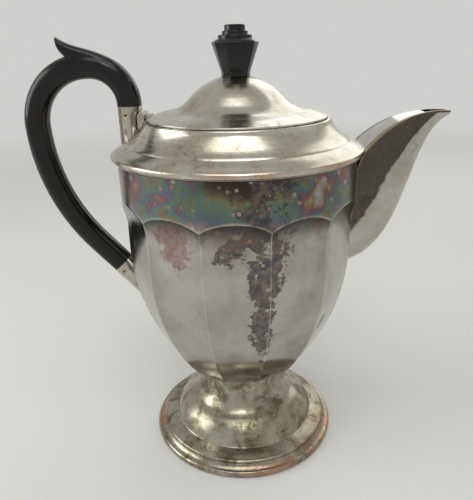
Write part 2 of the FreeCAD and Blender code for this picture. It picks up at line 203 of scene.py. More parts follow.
panel_mesh = surface("panel", [[point for point, wear_and_highlight, hollow in row] for row in panel_rows], marks={
    "wear_and_highlight": [[wear_and_highlight for point, wear_and_highlight, hollow in row] for row in panel_rows],
    "hollow": [[hollow for point, wear_and_highlight, hollow in row] for row in panel_rows]})


def add(tree, kind, sockets=None, **settings):
    """A node with its settings, its input values and the links into it."""
    new = tree.nodes.new(kind)
    for name, value in settings.items():
        setattr(new, name, value)
    for key, value in (sockets or {}).items():
        if isinstance(value, bpy.types.NodeSocket):
            tree.links.new(value, new.inputs[key])
        else:
            new.inputs[key].default_value = value
    return new


def linear(colour):
    """An sRGB hex colour as linear red, green, blue and alpha."""
    parts = [int(colour[i:i + 2], 16) / 255 for i in (1, 3, 5)]
    return [c / 12.92 if c <= 0.04045 else ((c + 0.055) / 1.055) ** 2.4 for c in parts] + [1]


def new_finish(name):
    """An empty finish: its material, its tree, its shader and the place on the piece that patterns read."""
    material = bpy.data.materials.new(name)
    material.use_nodes = True
    tree = material.node_tree
    place = add(tree, "ShaderNodeTexCoord").outputs["Object"]
    return material, tree, tree.nodes["Principled BSDF"], place


def shade(tree, shader, colour, roughness, bump=None):
    """The colour, the roughness and the relief of a finish, linked to its shader."""
    tree.links.new(colour, shader.inputs["Base Color"])
    tree.links.new(roughness, shader.inputs["Roughness"])
    if bump is not None:
        tree.links.new(bump, shader.inputs["Normal"])


def worn_plate(name, clean, toned):
    """Silver electroplate: bright metal that tones in soft clouds, with grime where no polish reaches."""
    cloud_width = 28 * mm
    speck_width = 2.2 * mm
    material, tree, shader, place = new_finish(name)
    shader.inputs["Metallic"].default_value = 1
    clouds = add(tree, "ShaderNodeTexNoise",
                 {"Vector": place, "Scale": 1 / cloud_width, "Detail": 5, "Roughness": 0.62}).outputs["Fac"]
    toning = add(tree, "ShaderNodeMapRange", {0: clouds, 1: 0.40, 2: 0.66}).outputs[0]
    colour = add(tree, "ShaderNodeMix", {0: toning, 6: linear(clean), 7: linear(toned)},
                 data_type="RGBA").outputs[2]
    specks = add(tree, "ShaderNodeTexNoise",
                 {"Vector": place, "Scale": 1 / speck_width, "Detail": 3, "Roughness": 0.7}).outputs["Fac"]
    grime = add(tree, "ShaderNodeMapRange", {0: specks, 1: 0.58, 2: 0.78, 3: 0, 4: 0.55}).outputs[0]
    grimy = add(tree, "ShaderNodeMath", {0: grime, 1: toning}, operation="MULTIPLY").outputs[0]
    colour = add(tree, "ShaderNodeMix", {0: grimy, 6: colour, 7: linear("#4a3a28")},
                 data_type="RGBA").outputs[2]
    dull = add(tree, "ShaderNodeMapRange", {0: clouds, 1: 0.35, 2: 0.72, 3: 0.07, 4: 0.20}).outputs[0]
    roughness = add(tree, "ShaderNodeMath", {0: grimy, 1: 0.5, 2: dull}, operation="MULTIPLY_ADD").outputs[0]
    return material, tree, shader, place, colour, roughness


# Panel silver: hand-polished plate that mirrors the room, fairly clean on the flats and tarnished above.
# Sulphide films of growing thickness turn the band gold, rose, violet and green, and a dark speckled run has
# gone down the front. Pale lines along the creases and the arches are partly rubbed bright by cloths and
# partly a painted highlight.
film_width = 16 * mm
fleck_gap = 3.2 * mm
blotch_width = 9 * mm
mottle_width = 2.6 * mm
dent_width = 20 * mm
# The plate colour is darker than the spun plate's, partly as painted shade for the darker room the panels
# reflect.
panel_silver, tree, shader, place, colour, roughness = worn_plate("panel silver plate", "#b6b4ae", "#989388")
spot = add(tree, "ShaderNodeSeparateXYZ", {0: place}).outputs
in_front = add(tree, "ShaderNodeMapRange", {0: spot["Y"], 1: -10 * mm, 2: -30 * mm}).outputs[0]

# The film's thickness picks its colour. It is thick and layered at the front middle, and flecks thin it.
film_stops = ((0.18, "#8f9191"), (0.28, "#8c7d50"), (0.37, "#80524a"), (0.45, "#654459"), (0.54, "#4a5a6c"),
              (0.65, "#4b705c"), (0.77, "#6f6c3e"), (0.88, "#6a3f48"))
film = add(tree, "ShaderNodeTexNoise", {"Vector": place, "Scale": 1 / film_width, "Detail": 4,
                                        "Roughness": 0.55, "Distortion": 0.3}).outputs["Fac"]
flecks = add(tree, "ShaderNodeTexVoronoi",
             {"Vector": place, "Scale": 1 / fleck_gap, "Randomness": 1}).outputs
fleck_tone = add(tree, "ShaderNodeSeparateColor", {0: flecks["Color"]}).outputs
fleck = add(tree, "ShaderNodeMapRange", {0: flecks["Distance"], 1: 0.38, 2: 0.30}).outputs[0]
thinning = add(tree, "ShaderNodeMapRange", {0: fleck_tone["Red"], 1: 0.35, 2: 1, 3: 0, 4: -0.45}).outputs[0]
thinning = add(tree, "ShaderNodeMath", {0: fleck, 1: thinning}, operation="MULTIPLY").outputs[0]
thickness = add(tree, "ShaderNodeMapRange", {0: film, 1: 0.30, 2: 0.70, 3: 0.10, 4: 1}).outputs[0]
band_height = add(tree, "ShaderNodeMath", {0: film, 1: 14 * mm, 2: spot["Z"]},
                  operation="MULTIPLY_ADD").outputs[0]
off_middle = add(tree, "ShaderNodeMath", {0: spot["X"], 1: 3 * mm}, operation="SUBTRACT").outputs[0]
off_middle = add(tree, "ShaderNodeMath", {0: off_middle}, operation="ABSOLUTE").outputs[0]
off_middle = add(tree, "ShaderNodeMath", {0: film, 1: -16 * mm, 2: off_middle},
                 operation="MULTIPLY_ADD").outputs[0]
middle = add(tree, "ShaderNodeMapRange", {0: off_middle, 1: 16 * mm, 2: 4 * mm},
             interpolation_type="SMOOTHSTEP").outputs[0]
middle = add(tree, "ShaderNodeMath", {0: middle, 1: in_front}, operation="MULTIPLY").outputs[0]
layers = add(tree, "ShaderNodeMapRange",
             {0: band_height, 1: 132 * mm, 2: 156 * mm, 3: 0.30, 4: 1}).outputs[0]
thickness = add(tree, "ShaderNodeMix", {0: middle, 2: thickness, 3: layers}).outputs[0]
thickness = add(tree, "ShaderNodeMath", {0: thickness, 1: thinning}, operation="ADD").outputs[0]
films = add(tree, "ShaderNodeValToRGB", {0: thickness})
films.color_ramp.elements[0].color = linear("#a3a4a4")
films.color_ramp.elements[1].color = linear("#382d26")
for stop, tint in film_stops:
    films.color_ramp.elements.new(stop).color = linear(tint)
on_band = add(tree, "ShaderNodeMapRange", {0: band_height, 1: 128 * mm, 2: 141 * mm},
              interpolation_type="SMOOTHSTEP").outputs[0]
film_most = add(tree, "ShaderNodeMapRange",
                {0: spot["Y"], 1: -36 * mm, 2: 8 * mm, 3: 0.82, 4: 0.40}).outputs[0]
film_share = add(tree, "ShaderNodeMath", {0: on_band, 1: film_most}, operation="MULTIPLY").outputs[0]
# The band is made darker towards its top under the brim, at the front middle.
darker_band_top = add(tree, "ShaderNodeMapRange", {0: band_height, 1: 146.5 * mm, 2: 152.5 * mm, 3: 0, 4: 0.8},
             interpolation_type="SMOOTHSTEP").outputs[0]
darker_band_top = add(tree, "ShaderNodeMath", {0: darker_band_top, 1: middle}, operation="MULTIPLY").outputs[0]

# The run widens upwards and has two patches beside it. A dark tide line edges it, and pale drops lie on it.
run_patches = (((0, -51.5, 118), 12), ((36.2, -27.9, 75), 9))
blotch = add(tree, "ShaderNodeTexNoise", {"Vector": place, "Scale": 1 / blotch_width, "Detail": 10,
                                          "Roughness": 0.72, "Distortion": 0.25}).outputs["Fac"]
run_width = add(tree, "ShaderNodeMapRange",
                {0: spot["Z"], 1: 60 * mm, 2: 118 * mm, 3: 5 * mm, 4: 20 * mm}).outputs[0]
run_side = add(tree, "ShaderNodeMath", {0: spot["X"], 1: 10.5 * mm}, operation="SUBTRACT").outputs[0]
run_side = add(tree, "ShaderNodeMath", {0: run_side}, operation="ABSOLUTE").outputs[0]
run_share = add(tree, "ShaderNodeMath", {0: run_side, 1: run_width}, operation="DIVIDE").outputs[0]
run_edge = add(tree, "ShaderNodeMapRange", {0: run_share, 1: 0.2, 2: 1.25, 3: 0.44, 4: 0.80}).outputs[0]
run_low = add(tree, "ShaderNodeMapRange", {0: spot["Z"], 1: 50 * mm, 2: 62 * mm, 3: 0.4, 4: 0}).outputs[0]
run_edge = add(tree, "ShaderNodeMath", {0: run_edge, 1: run_low}, operation="ADD").outputs[0]
for patch, reach in run_patches:
    from_patch = add(tree, "ShaderNodeVectorMath", {0: place, 1: Vector(patch) * mm},
                     operation="DISTANCE").outputs["Value"]
    patch_edge = add(tree, "ShaderNodeMapRange",
                     {0: from_patch, 1: 0.3 * reach * mm, 2: 1.2 * reach * mm, 3: 0.44, 4: 0.80}).outputs[0]
    run_edge = add(tree, "ShaderNodeMath", {0: run_edge, 1: patch_edge}, operation="MINIMUM").outputs[0]
over = add(tree, "ShaderNodeMath", {0: blotch, 1: run_edge}, operation="SUBTRACT").outputs[0]
run = add(tree, "ShaderNodeMapRange", {0: over, 1: -0.008, 2: 0.020, 3: 0, 4: 0.85},
          interpolation_type="SMOOTHSTEP").outputs[0]
run = add(tree, "ShaderNodeMath", {0: run, 1: in_front}, operation="MULTIPLY").outputs[0]
mottle = add(tree, "ShaderNodeTexNoise",
             {"Vector": place, "Scale": 1 / mottle_width, "Detail": 5}).outputs["Fac"]
run_tone = add(tree, "ShaderNodeMapRange", {0: mottle, 1: 0.42, 2: 0.62}).outputs[0]
run_colour = add(tree, "ShaderNodeMix", {0: run_tone, 6: linear("#47444e"), 7: linear("#776860")},
                 data_type="RGBA").outputs[2]
tide = add(tree, "ShaderNodeMath", {0: over, 1: 0.004}, operation="SUBTRACT").outputs[0]
tide = add(tree, "ShaderNodeMath", {0: tide}, operation="ABSOLUTE").outputs[0]
tide = add(tree, "ShaderNodeMapRange", {0: tide, 1: 0.014, 2: 0.004, 3: 0, 4: 0.7}).outputs[0]
tide = add(tree, "ShaderNodeMath", {0: tide, 1: in_front}, operation="MULTIPLY").outputs[0]
drop_size = add(tree, "ShaderNodeMath", {0: fleck_tone["Green"], 1: 3}, operation="POWER").outputs[0]
drop_gap = add(tree, "ShaderNodeMath", {0: drop_size, 1: -0.24, 2: flecks["Distance"]},
               operation="MULTIPLY_ADD").outputs[0]
drop = add(tree, "ShaderNodeMapRange", {0: drop_gap, 1: 0.10, 2: 0.05, 3: 0, 4: 0.75}).outputs[0]
near_run = add(tree, "ShaderNodeMapRange", {0: run_share, 1: 0.95, 2: 0.45}).outputs[0]
for mask in (near_run, in_front):
    drop = add(tree, "ShaderNodeMath", {0: drop, 1: mask}, operation="MULTIPLY").outputs[0]

# Under the arches the plate is stained pink, most of all on one panel, and each scoop is darkened towards
# the arch above it as painted shade.
rose_place = (-26, -44.3, 120.5)
hollow = add(tree, "ShaderNodeAttribute", attribute_name="hollow").outputs["Fac"]
below_arch = add(tree, "ShaderNodeMapRange", {0: hollow, 1: 0.95, 2: 0.30}).outputs[0]
below_arch = add(tree, "ShaderNodeMath", {0: below_arch, 1: hollow}, operation="MULTIPLY").outputs[0]
pink_edge = add(tree, "ShaderNodeMapRange", {0: blotch, 1: 0.50, 2: 0.58, 3: 0, 4: 2.2}).outputs[0]
pink = add(tree, "ShaderNodeMath", {0: below_arch, 1: pink_edge},
           operation="MULTIPLY", use_clamp=True).outputs[0]
pink = add(tree, "ShaderNodeMath", {0: pink, 1: 0.6}, operation="MULTIPLY").outputs[0]
from_rose = add(tree, "ShaderNodeVectorMath", {0: place, 1: Vector(rose_place) * mm},
                operation="DISTANCE").outputs["Value"]
rose_edge = add(tree, "ShaderNodeMapRange",
                {0: from_rose, 1: 4 * mm, 2: 18 * mm, 3: 0.36, 4: 0.70}).outputs[0]
rose = add(tree, "ShaderNodeMath", {0: blotch, 1: rose_edge}, operation="SUBTRACT").outputs[0]
rose = add(tree, "ShaderNodeMapRange", {0: rose, 1: -0.01, 2: 0.05, 3: 0, 4: 0.72}).outputs[0]
pink = add(tree, "ShaderNodeMath", {0: pink, 1: rose}, operation="MAXIMUM").outputs[0]
rose_colour = add(tree, "ShaderNodeMix", {0: run_tone, 6: linear("#a08078"), 7: linear("#80584c")},
                  data_type="RGBA").outputs[2]
# Painted shade: the scoop under each arch darkens upwards to the arch.
deep = add(tree, "ShaderNodeMath", {0: hollow, 1: 1.7}, operation="POWER").outputs[0]
deep = add(tree, "ShaderNodeMath", {0: deep, 1: 0.88}, operation="MULTIPLY").outputs[0]
# Pale lines on the arch edges and creases: wear from rubbing, and a painted highlight along each edge.
wear_and_highlight = add(tree, "ShaderNodeAttribute", attribute_name="wear_and_highlight").outputs["Fac"]
wear_and_highlight_share = add(tree, "ShaderNodeMapRange", {0: blotch, 1: 0.40, 2: 0.62, 3: 0.55, 4: 0.10}).outputs[0]
wear_and_highlight = add(tree, "ShaderNodeMath", {0: wear_and_highlight, 1: wear_and_highlight_share}, operation="MULTIPLY").outputs[0]
for share, stain in ((film_share, films.outputs[0]), (darker_band_top, linear("#352c25")), (run, run_colour),
                     (tide, linear("#332f30")), (drop, linear("#b3aaa2")), (pink, rose_colour),
                     (deep, linear("#3a3939")), (wear_and_highlight, linear("#dad6cc"))):
    colour = add(tree, "ShaderNodeMix", {0: share, 6: colour, 7: stain}, data_type="RGBA").outputs[2]
stained = add(tree, "ShaderNodeMath", {0: run, 1: film_share}, operation="MAXIMUM").outputs[0]
roughness = add(tree, "ShaderNodeMath", {0: stained, 1: 0.16, 2: roughness},
                operation="MULTIPLY_ADD").outputs[0]
dents = add(tree, "ShaderNodeTexNoise",
            {"Vector": place, "Scale": 1 / dent_width, "Detail": 1}).outputs["Fac"]
sheet_bump = add(tree, "ShaderNodeBump", {"Height": dents, "Strength": 0.12, "Distance": 1 * mm}).outputs[0]
shade(tree, shader, colour, roughness, sheet_bump)


def repeat_panel():
    """The tree that turns one panel into the whole vessel and drills the strainer."""
    tree = bpy.data.node_groups.new("panelled vessel", "GeometryNodeTree")
    tree.interface.new_socket("Panel", in_out="INPUT", socket_type="NodeSocketGeometry")
    for name, kind in (("Panels", "Int"), ("Hole", "Float"), ("Pitch", "Float"), ("Ring", "Int"),
                       ("Height", "Float"), ("Wall", "Float"), ("Silver", "Material")):
        tree.interface.new_socket(name, in_out="INPUT", socket_type="NodeSocket" + kind)
    tree.interface.new_socket("Vessel", in_out="OUTPUT", socket_type="NodeSocketGeometry")
    sizes = add(tree, "NodeGroupInput").outputs
    index = add(tree, "GeometryNodeInputIndex").outputs[0]
    step = add(tree, "ShaderNodeMath", {0: 2 * math.pi, 1: sizes["Panels"]}, operation="DIVIDE").outputs[0]
    angle = add(tree, "ShaderNodeMath", {0: index, 1: step}, operation="MULTIPLY").outputs[0]
    euler = add(tree, "ShaderNodeCombineXYZ", {"Z": angle}).outputs[0]
    turn = add(tree, "FunctionNodeEulerToRotation", {0: euler}).outputs[0]
    axis = add(tree, "GeometryNodePoints", {"Count": sizes["Panels"]}).outputs[0]
    ring = add(tree, "GeometryNodeInstanceOnPoints",
               {"Points": axis, "Instance": sizes["Panel"], "Rotation": turn}).outputs[0]
    ring = add(tree, "GeometryNodeRealizeInstances", {0: ring}).outputs[0]
    vessel = add(tree, "GeometryNodeMergeByDistance",
                 {"Geometry": ring, "Distance": panel_weld * mm}).outputs[0]
    side = add(tree, "ShaderNodeCombineXYZ", {"X": sizes["Wall"], "Z": sizes["Height"]}).outputs[0]
    holes = add(tree, "GeometryNodeMeshCircle",
                {"Vertices": sizes["Ring"], "Radius": sizes["Pitch"]}).outputs[0]
    holes = add(tree, "GeometryNodeTransform",
                {"Geometry": holes, "Translation": side, "Rotation": (0, math.pi / 2, 0)}).outputs[0]
    middle = add(tree, "GeometryNodePoints", {"Count": 1, "Position": side}).outputs[0]
    drill = add(tree, "GeometryNodeMeshCylinder",
                {"Vertices": drill_sides, "Radius": sizes["Hole"], "Depth": drill_length * mm}).outputs[0]
    drill = add(tree, "GeometryNodeTransform",
                {"Geometry": drill, "Rotation": (0, math.pi / 2, 0)}).outputs[0]
    around = add(tree, "GeometryNodeInstanceOnPoints", {"Points": holes, "Instance": drill}).outputs[0]
    centre = add(tree, "GeometryNodeInstanceOnPoints", {"Points": middle, "Instance": drill}).outputs[0]
    cut = add(tree, "GeometryNodeMeshBoolean", {0: vessel}, operation="DIFFERENCE", solver="EXACT")
    for bores in (around, centre):
        bores = add(tree, "GeometryNodeRealizeInstances", {0: bores}).outputs[0]
        tree.links.new(bores, cut.inputs[1])
    whole = add(tree, "GeometryNodeMergeByDistance",
                {"Geometry": cut.outputs[0], "Distance": hole_weld * mm}).outputs[0]
    whole = add(tree, "GeometryNodeRealizeInstances", {0: whole}).outputs[0]
    whole = add(tree, "GeometryNodeSetMaterial", {"Geometry": whole, "Material": sizes["Silver"]}).outputs[0]
    add(tree, "NodeGroupOutput", {0: whole})
    return tree


def grown(name, source, tree, **sizes):
    """The plain mesh that a tree makes of a mesh or curve, with the tree's inputs set by identifier."""
    holder = bpy.data.objects.new(name, source)
    bpy.context.scene.collection.objects.link(holder)
    modifier = holder.modifiers.new(name, "NODES")
    modifier.node_group = tree
    for item in tree.interface.items_tree:
        if item.in_out == "INPUT" and item.name in sizes:
            modifier[item.identifier] = sizes[item.name]
    bpy.context.view_layer.update()
    mesh = bpy.data.meshes.new_from_object(holder.evaluated_get(bpy.context.evaluated_depsgraph_get()))
    holder.modifiers.remove(modifier)
    bpy.data.objects.remove(holder)
    return mesh


def fit(node, mesh, body, material=None, sharp=math.radians(32)):
    """A finished piece in place of its solid, which is hidden: it rides on the same body and takes the
    material given.
    """
    mesh.name = node + "_finished"
    if material is not None:
        mesh.materials.clear()
        mesh.materials.append(material)
    mesh.set_sharp_from_angle(angle=sharp)
    piece = bpy.data.objects.new(node + "_finished", mesh)
    bpy.context.scene.collection.objects.link(piece)
    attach(piece, body)
    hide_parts(node)


hole_radius = 2.5
hole_pitch = 8
hole_ring = 6
strainer_rise = 82
drill_sides = 36
drill_length = 12
panel_weld = 0.006
hole_weld = 0.02
vessel_mesh = grown("vessel", panel_mesh, repeat_panel(), Panels=panels, Hole=hole_radius * mm,
                    Pitch=hole_pitch * mm, Ring=hole_ring, Height=(foot_height + strainer_rise) * mm,
                    Wall=panel_flat * mm, Silver=panel_silver)
fit("body", vessel_mesh, "pot", sharp=math.radians(40))


# Foot: a hollow pedestal spun from one disc of brass and silver plated, with a stepped edge, a low dome
# and a cove that rises to the neck. It is soldered under the bottom of the body.
arc_step = math.radians(6)


def line_of(start, *moves):
    """Points of a turned outline: straight ways to a corner, or a bow to it by a sag to the left."""
    points = [start]
    for move in moves:
        a = Vector(points[-1])
        b = Vector(move[:2])
        sag = move[2] if len(move) == 3 else 0
        if not sag:
            points.append(tuple(b))
            continue
        chord = b - a
        left = Vector((-chord.y, chord.x)).normalized()
        radius = (chord.length ** 2 / 4 + sag * sag) / (2 * sag)
        centre = (a + b) / 2 + left * (sag - radius)
        start_angle = math.atan2(a.y - centre.y, a.x - centre.x)
        sweep = math.atan2(b.y - centre.y, b.x - centre.x) - start_angle
        sweep = (sweep + math.pi) % (2 * math.pi) - math.pi
        count = max(3, math.ceil(abs(sweep) / arc_step))
        for step in range(1, count + 1):
            angle = start_angle + sweep * step / count
            points.append((centre.x + abs(radius) * math.cos(angle),
                           centre.y + abs(radius) * math.sin(angle)))
    return points


def spun(name, outline, segments=160):
    """The closed mesh of an outline turned about the axis."""
    turns = [2 * math.pi * i / segments for i in range(segments)]
    rows = []
    for radius, z in outline + outline[:1]:
        rows.append([(radius * math.cos(turn), radius * math.sin(turn), z) for turn in turns])
    return surface(name, rows, closed_ring=True)


# Spun silver: plate over a turned sheet, with faint polishing lines round the axis. It has toned to a warm
# grey on the lid and to olive brown on the foot, with rose clouds, and copper where edges are rubbed
# through. The real lines are far finer, and are drawn 0.7 mm apart so that they show.
stain_width = 10 * mm
rub_width = 18 * mm
bloom_width = 22 * mm
speckle_width = 2.2 * mm
line_gap = 0.7 * mm
spun_silver, tree, shader, place, colour, roughness = worn_plate("spun silver plate", "#d6d4c6", "#b4af99")
spot = add(tree, "ShaderNodeSeparateXYZ", {0: place}).outputs
flat_place = add(tree, "ShaderNodeVectorMath", {0: place, 1: (1, 1, 0)}, operation="MULTIPLY").outputs[0]
radius_out = add(tree, "ShaderNodeVectorMath", {0: flat_place}, operation="LENGTH").outputs["Value"]

# The foot is olive, browned in blotches that gather at its neck.
stain = add(tree, "ShaderNodeTexNoise", {"Vector": place, "Scale": 1 / stain_width, "Detail": 8,
                                         "Roughness": 0.74, "Distortion": 0.3}).outputs["Fac"]
low = add(tree, "ShaderNodeMapRange", {0: spot["Z"], 1: 50 * mm, 2: 42 * mm}).outputs[0]
olive = add(tree, "ShaderNodeMapRange", {0: stain, 1: 0.38, 2: 0.60, 3: 0.45, 4: 0.90}).outputs[0]
olive = add(tree, "ShaderNodeMath", {0: olive, 1: low}, operation="MULTIPLY").outputs[0]
brown_from = add(tree, "ShaderNodeMapRange", {0: low, 1: 0, 2: 1, 3: 0.60, 4: 0.50}).outputs[0]
neck = add(tree, "ShaderNodeMapRange", {0: spot["Z"], 1: 24 * mm, 2: 40 * mm, 3: 0, 4: 0.10}).outputs[0]
neck = add(tree, "ShaderNodeMath", {0: neck, 1: low}, operation="MULTIPLY").outputs[0]
browned = add(tree, "ShaderNodeMath", {0: stain, 1: brown_from}, operation="SUBTRACT").outputs[0]
browned = add(tree, "ShaderNodeMath", {0: browned, 1: neck}, operation="ADD").outputs[0]
browned = add(tree, "ShaderNodeMapRange", {0: browned, 1: -0.01, 2: 0.12, 3: 0, 4: 0.72}).outputs[0]

# Copper shows on the edge of the brim and on the wire of the foot, and rose clouds lie over the rest.
rub = add(tree, "ShaderNodeTexNoise", {"Vector": place, "Scale": 1 / rub_width, "Detail": 5}).outputs["Fac"]
brim_wear = add(tree, "ShaderNodeMapRange",
                {0: radius_out, 1: 55.8 * mm, 2: 57.2 * mm, 3: 0, 4: 0.45}).outputs[0]
rim_wear = add(tree, "ShaderNodeMapRange", {0: spot["Z"], 1: 5.2 * mm, 2: 3.6 * mm, 3: 0, 4: 0.7}).outputs[0]
edge_wear = add(tree, "ShaderNodeMath", {0: brim_wear, 1: rim_wear}, operation="MAXIMUM").outputs[0]
wear_and_highlight = add(tree, "ShaderNodeMapRange", {0: rub, 1: 0.47, 2: 0.60}).outputs[0]
wear_and_highlight = add(tree, "ShaderNodeMath", {0: wear_and_highlight, 1: edge_wear}, operation="MULTIPLY").outputs[0]
bloom = add(tree, "ShaderNodeTexNoise",
            {"Vector": place, "Scale": 1 / bloom_width, "Detail": 7, "Roughness": 0.66, "W": 3},
            noise_dimensions="4D").outputs["Fac"]
bloom = add(tree, "ShaderNodeMapRange", {0: bloom, 1: 0.49, 2: 0.65, 3: 0, 4: 0.45}).outputs[0]
speckle = add(tree, "ShaderNodeTexNoise",
              {"Vector": place, "Scale": 1 / speckle_width, "Detail": 5, "Roughness": 0.65}).outputs["Fac"]
speckle = add(tree, "ShaderNodeMapRange", {0: speckle, 1: 0.50, 2: 0.62, 3: 0, 4: 1.3}).outputs[0]
speckle = add(tree, "ShaderNodeMath", {0: speckle, 1: bloom}, operation="MULTIPLY").outputs[0]

# Grime gathers round the foot of the knob. Under the rolled brim, by its joint with the band, the plate is
# darkened with painted shade, with grime in the joint.
knob_foot = add(tree, "ShaderNodeMapRange",
                {0: radius_out, 1: 11.5 * mm, 2: 6.8 * mm, 3: 0, 4: 0.75}).outputs[0]
on_dome = add(tree, "ShaderNodeMapRange", {0: spot["Z"], 1: 174 * mm, 2: 178 * mm}).outputs[0]
knob_grime = add(tree, "ShaderNodeMath", {0: knob_foot, 1: on_dome}, operation="MULTIPLY").outputs[0]
# Painted shade under the rolled brim, with grime in the joint.
under_brim = add(tree, "ShaderNodeMapRange", {0: spot["Z"], 1: 149.2 * mm, 2: 148.2 * mm}).outputs[0]
above_band = add(tree, "ShaderNodeMapRange", {0: spot["Z"], 1: 147.0 * mm, 2: 147.6 * mm}).outputs[0]
brim_shade_and_grime = add(tree, "ShaderNodeMath", {0: under_brim, 1: above_band}, operation="MULTIPLY").outputs[0]
brim_shade_and_grime = add(tree, "ShaderNodeMath", {0: brim_shade_and_grime, 1: 0.75}, operation="MULTIPLY").outputs[0]
for share, tint in ((olive, "#88826b"), (browned, "#57472e"), (wear_and_highlight, "#b98b74"), (bloom, "#a3867b"),
                    (speckle, "#6f584a"), (knob_grime, "#7b624d"), (brim_shade_and_grime, "#3d3a2c")):
    colour = add(tree, "ShaderNodeMix", {0: share, 6: colour, 7: linear(tint)}, data_type="RGBA").outputs[2]
ring_place = add(tree, "ShaderNodeCombineXYZ", {"X": radius_out, "Z": spot["Z"]}).outputs[0]
lines = add(tree, "ShaderNodeTexNoise",
            {"Vector": ring_place, "Scale": 1 / line_gap, "Detail": 2}).outputs["Fac"]
line_dull = add(tree, "ShaderNodeMapRange", {0: lines, 1: 0.35, 2: 0.65, 3: 0.05, 4: 0.13}).outputs[0]
roughness = add(tree, "ShaderNodeMath", {0: roughness, 1: line_dull}, operation="ADD").outputs[0]
for share, dulling in ((browned, 0.20), (low, 0.05)):
    roughness = add(tree, "ShaderNodeMath", {0: share, 1: dulling, 2: roughness},
                    operation="MULTIPLY_ADD").outputs[0]
line_bump = add(tree, "ShaderNodeBump", {"Height": lines, "Strength": 0.05, "Distance": 0.2 * mm}).outputs[0]
shade(tree, shader, colour, roughness, line_bump)

foot_line = line_of(
    (45.8, 0), (45.8, 3.2), (43.5, 5.0, 0.3), (43.3, 5.2, -0.06), (42.4, 6.9, -0.6), (41.9, 7.1),
    (37.0, 8.7), (36.4, 9.1, 0.08), (26.2, 20.4, -1.7), (20, 34, 1.8), (20, 39.8), (18.8, 39.8), (18.8, 34),
    (25, 19.2, -1.8), (35.4, 7.6, 1.7), (42.1, 4.75), (44.6, 2.0), (44.6, 0))
fit("foot", spun("foot", foot_line), "pot", spun_silver)


# Foot rim: a half-round wire of plated brass, 3.2 mm high, bent to a ring and soldered round the edge of the
# foot. It takes the wear of the table, so its plate is rubbed through to copper in places.
rim_line = line_of((45.82, 0), (46.6, 0), (46.72, 0.06), (46.72, 3.14, -0.78), (46.6, 3.2), (45.82, 3.2))
fit("foot_rim", spun("foot_rim", rim_line), "pot", spun_silver)


# Collar: the fixed brim that caps the body, spun from plated sheet 1.2 mm thick, with a rolled edge, a
# cove and a flat tier round the mouth. It is soldered to the top of the band.
collar_line = line_of(
    (54.4, 147.8), (56.35, 148.9, -0.3), (56.35, 151.5, -0.9), (50.7, 154.6, -0.3), (50.3, 154.95, 0.05),
    (42.0, 163.4, 1.0), (41.2, 164.2, -0.25), (39.1, 164.2), (38.8, 163.9, -0.09), (38.8, 163.0),
    (40.8, 163.0), (49.9, 153.5, -1.0), (53.2, 151.5), (53.2, 147.8))
fit("collar", spun("collar", collar_line), "pot", spun_silver)


# Spout: a beak with a flat top, a keel and an open lip, folded from plated sheet with a seam along both
# top edges. Skin and bore are lofted through the curves of the top, the keel and the half width. It is
# soldered over the strainer to the panel, the band and the brim.
def cubic(points, u):
    """The place on the curve of four control points."""
    weights = ((1 - u) ** 3, 3 * u * (1 - u) ** 2, 3 * u * u * (1 - u), u ** 3)
    places = (Vector(point) * weight for point, weight in zip(points, weights))
    return sum(places, Vector((0,) * len(points[0])))


top_points = ((48.0, 0, 141.4), (60.4, 0, 158.4), (73.0, 0, 167.2), (94.2, 0, 165.4))
keel_points = ((48.0, 0, 93.5), (82.1, 0, 98.8), (75.7, 0, 155.3), (94.0, 0, 163.2))
width_points = ((16.0, 0), (11.8, 0), (7.0, 0), (2.3, 0))
brim_heights = ((54.4, 147.8), (56.35, 148.9), (57.25, 150.2), (56.35, 151.5), (50.5, 154.7), (42.0, 163.4))
solder_bite = 0.15
spout_wall = 1.2
sides = 36
across = 8
lip_start = 0.80
lip_end = 0.97
tip_places = [0.985, 1.0]
root_tries = 400
root_steps = 28
lip_steps = 10
lip_close = root_steps + lip_steps
skin_end = lip_close + len(tip_places)
bore_end = lip_close + 1
dark_depth = 42
dark_end = 0.92
far_side_share = 0.8


def spout_place(u, share, inset, drop):
    """A point of the section at u: share 0 to 1 goes round the keel, and 1 to 2 goes back across the top."""
    top = cubic(top_points, u)
    keel = cubic(keel_points, u)
    down = (keel - top).normalized()
    top = top + down * drop
    keel = keel - down * inset
    half = Vector((0, cubic(width_points, u)[0] - inset, 0))
    if share <= 1:
        angle = math.pi * share
        return top + half * math.cos(angle) + (keel - top) * math.sin(angle)
    return top + half * (2 * share - 3)


def in_the_pot(point):
    """Whether a point lies inside the outer face of the body or the collar."""
    out = math.hypot(point.x, point.y)
    if point.z < body_top:
        turn = math.atan2(point.y, point.x)
        turn -= 2 * half_panel * round(turn / (2 * half_panel))
        return out < min(band_radius, panel_distance(point.z, 0) / math.cos(turn)) - solder_bite
    for (r0, z0), (r1, z1) in zip(brim_heights, brim_heights[1:]):
        if point.z < z1:
            return out < r0 + (r1 - r0) * (point.z - z0) / (z1 - z0) - solder_bite
    return False


def spout_stations(share, inset):
    """Places along a line of the spout's skin or bore, from where it leaves the pot to the open lip."""
    root = 0.0
    for step in range(root_tries):
        u = step / root_tries * lip_start
        if in_the_pot(spout_place(u, share, inset, inset)):
            root = u
    return [root + (lip_start - root) * i / root_steps for i in range(root_steps + 1)]


